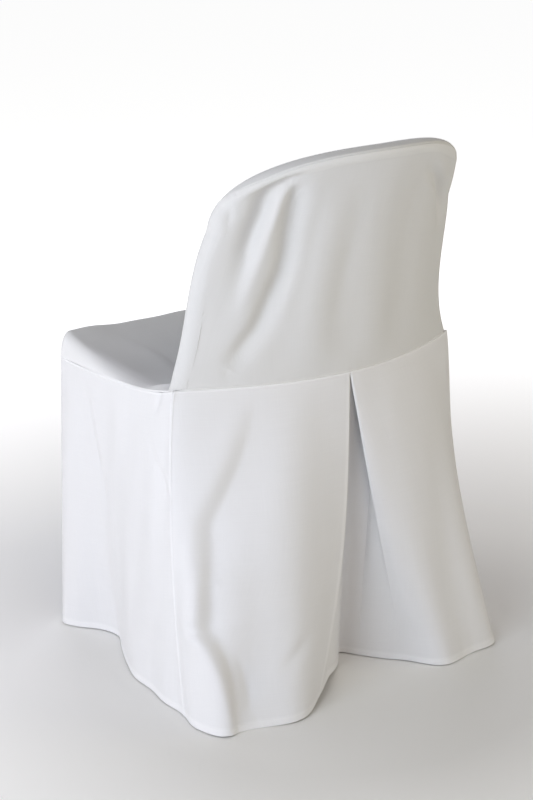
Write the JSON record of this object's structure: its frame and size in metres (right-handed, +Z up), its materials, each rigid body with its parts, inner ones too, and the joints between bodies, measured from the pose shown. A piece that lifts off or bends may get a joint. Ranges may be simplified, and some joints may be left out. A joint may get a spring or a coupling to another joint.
{
  "type": "fitted chair cover without a sash",
  "caption": "White woven polyester cover for a round-backed folding chair: a loose hood, a dished seat, floor-length skirts and an inverted pleat in the middle of the back.",
  "frame": {"origin": "the mount held_under_top: the point just under the cloth in the middle of the hood's top, where the top of the chair's back holds the cover up; the hem is 0.784 m below it", "axes": "+Z up; +X to the left of someone sitting on the chair; the sitter faces -Y, and the outside of the back faces +Y"},
  "size_m": [0.5434, 0.5025, 0.7829],
  "materials": {
    "white_cloth": "matt plain-woven polyester",
    "skirt_cloth": "matt plain-woven polyester"
  },
  "bodies": {
    "root": {"outer_back": "white_cloth", "inner_back": "white_cloth", "seat_panel": "white_cloth", "side_skirt_left": "skirt_cloth", "side_skirt_right": "skirt_cloth", "front_skirt": "skirt_cloth", "back_skirt": "skirt_cloth"}
  },
  "joints": []
}
